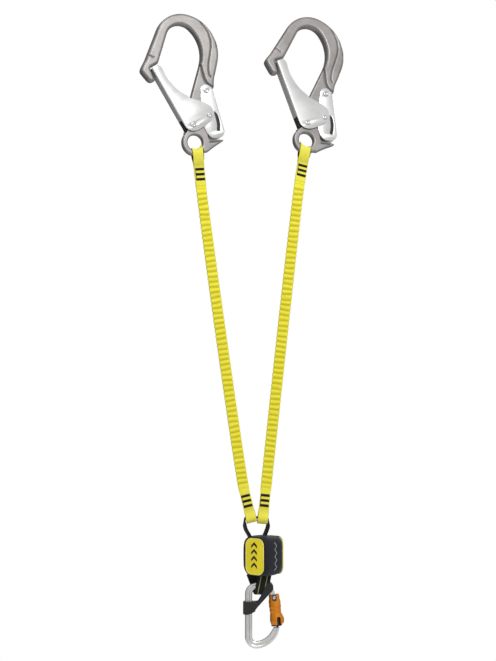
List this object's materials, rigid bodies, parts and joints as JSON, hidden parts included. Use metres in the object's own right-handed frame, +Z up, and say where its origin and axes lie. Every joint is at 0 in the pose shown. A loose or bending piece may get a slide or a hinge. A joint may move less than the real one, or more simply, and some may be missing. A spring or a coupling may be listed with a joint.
{
  "type": "shock absorbing lanyard",
  "caption": "Twin-leg elastic lanyard with large scaffold hooks, a pouch that holds the energy absorber, and a locking carabiner in its lower webbing loop.",
  "frame": {"origin": "centre of the 50 mm bar seat in the left hook's bow, from which the lanyard hangs", "axes": "+Z up, +X to the right seen from the front, +Y to the rear"},
  "size_m": [0.3562, 0.1107, 1.0945],
  "materials": {
    "forged_alloy": "satin anodised, warm grey",
    "plated_steel": "bright zinc plated sheet",
    "rivet_steel": "plated",
    "spring_steel": "drawn wire",
    "black_spring": "blackened wire",
    "black_plastic": "moulded",
    "yellow_webbing": "woven polyester webbing",
    "elastic_rubber": "covered rubber strands",
    "black_webbing": "woven polyester webbing",
    "black_thread": "bar tack thread",
    "pouch_fabric": "coated woven fabric",
    "yellow_panel": "coated woven fabric",
    "zip_black": "coil zip on tape",
    "tear_webbing": "stitched tear webbing",
    "bar_alloy": "polished",
    "brass_plunger": "turned",
    "orange_sleeve": "anodised orange",
    "keeper_rubber": "textured"
  },
  "bodies": {
    "root": {"hook_frame_left": "forged_alloy", "gate_pivot_left": "rivet_steel", "lever_pivot_left": "rivet_steel", "gate_spring_left": "black_spring", "lever_spring_left": "spring_steel", "top_loop_left": "yellow_webbing", "top_liner_left": "black_webbing", "top_tacks_left": "black_thread", "arm_webbing_left": "yellow_webbing", "elastic_core_left": "elastic_rubber", "hook_frame_right": "forged_alloy", "gate_pivot_right": "rivet_steel", "lever_pivot_right": "rivet_steel", "gate_spring_right": "black_spring", "lever_spring_right": "spring_steel", "top_loop_right": "yellow_webbing", "top_liner_right": "black_webbing", "top_tacks_right": "black_thread", "arm_webbing_right": "yellow_webbing", "elastic_core_right": "elastic_rubber"},
    "hook_gate_left": {"hook_gate_left": "plated_steel", "gate_tail_pin_left": "rivet_steel"},
    "hook_lever_left": {"hook_lever_left": "plated_steel", "lever_insert_left": "black_plastic"},
    "hook_gate_right": {"hook_gate_right": "plated_steel", "gate_tail_pin_right": "rivet_steel"},
    "hook_lever_right": {"hook_lever_right": "plated_steel", "lever_insert_right": "black_plastic"},
    "absorber": {"bottom_loop_left": "yellow_webbing", "bottom_liner_left": "black_webbing", "bottom_tacks_left": "black_thread", "bottom_loop_right": "yellow_webbing", "bottom_liner_right": "black_webbing", "bottom_tacks_right": "black_thread", "ring_sling": "black_webbing", "pouch_shell": "pouch_fabric", "front_panel": "yellow_panel", "rear_panel": "yellow_panel", "front_zip": "zip_black", "rear_zip": "zip_black", "tear_webbing_pack": "tear_webbing", "lower_webbing": "black_webbing"},
    "zip_slider": {"zip_slider": "zip_black", "zip_pull": "zip_black"},
    "carabiner": {"carabiner_frame": "bar_alloy", "carabiner_rivet": "rivet_steel", "keeper_strap": "keeper_rubber"},
    "carabiner_gate": {"carabiner_gate": "bar_alloy", "gate_plunger": "brass_plunger", "gate_plunger_spring": "spring_steel"},
    "lock_bush": {"lock_bush": "black_plastic", "sleeve_spring": "spring_steel"},
    "locking_sleeve": {"locking_sleeve": "orange_sleeve"}
  },
  "joints": [
    {"name": "gate_left", "type": "hinge", "parent": "root", "child": "hook_gate_left", "pos_m": [0.02165, -0.0126, -0.14994], "axis": [-0.312, 0.9419, -0.1242], "range_deg": [0, 36], "stiffness_Nm_per_rad": 0.12, "springref_deg": -34.38, "deforming": ["gate_spring_left"]},
    {"name": "lever_left", "type": "hinge", "parent": "root", "child": "hook_lever_left", "pos_m": [0.04416, 0.00288, -0.08911], "axis": [-0.312, 0.9419, -0.1242], "range_deg": [0, 4.5], "stiffness_Nm_per_rad": 0.5, "springref_deg": -17.19, "deforming": ["lever_spring_left"]},
    {"name": "gate_right", "type": "hinge", "parent": "root", "child": "hook_gate_right", "pos_m": [0.21786, -0.00744, -0.1468], "axis": [-0.3363, 0.9133, -0.2297], "range_deg": [0, 36], "stiffness_Nm_per_rad": 0.12, "springref_deg": -34.38, "deforming": ["gate_spring_right"]},
    {"name": "lever_right", "type": "hinge", "parent": "root", "child": "hook_lever_right", "pos_m": [0.25053, 0.01776, -0.09441], "axis": [-0.3363, 0.9133, -0.2297], "range_deg": [0, 4.5], "stiffness_Nm_per_rad": 0.5, "springref_deg": -17.19, "deforming": ["lever_spring_right"]},
    {"name": "arms_stretch", "type": "slide", "parent": "root", "child": "absorber", "axis": [0, 0, -1], "range_m": [0, 0.37], "stiffness_N_per_m": 60, "springref_m": -0.2, "deforming": ["arm_webbing_left", "elastic_core_left", "arm_webbing_right", "elastic_core_right"]},
    {"name": "carabiner_swing", "type": "hinge", "parent": "absorber", "child": "carabiner", "pos_m": [0.13849, -0.01489, -0.92487], "axis": [1, 0, 0], "range_deg": [-40, 40], "deforming": ["lower_webbing"]},
    {"name": "zip_slide", "type": "slide", "parent": "absorber", "child": "zip_slider", "axis": [0, 0, 1], "range_m": [0, 0.04]},
    {"name": "carabiner_gate", "type": "hinge", "parent": "carabiner", "child": "carabiner_gate", "pos_m": [0.16349, -0.01489, -0.96117], "axis": [0, 1, 0], "range_deg": [0, 26], "stiffness_Nm_per_rad": 0.05, "springref_deg": -34.38},
    {"name": "sleeve_lift", "type": "slide", "parent": "carabiner_gate", "child": "lock_bush", "axis": [-0.0906, 0, 0.9959], "range_m": [0, 0.004], "stiffness_N_per_m": 400, "springref_m": -0.004},
    {"name": "sleeve_twist", "type": "hinge", "parent": "lock_bush", "child": "locking_sleeve", "pos_m": [0.16349, -0.01489, -0.96117], "axis": [-0.0906, 0, 0.9959], "range_deg": [0, 90], "stiffness_Nm_per_rad": 0.02, "springref_deg": -28.65}
  ],
  "couplings": [
    {"joint": "lever_left", "follows": "gate_left", "ratio": 0.125},
    {"joint": "lever_right", "follows": "gate_right", "ratio": 0.125}
  ]
}
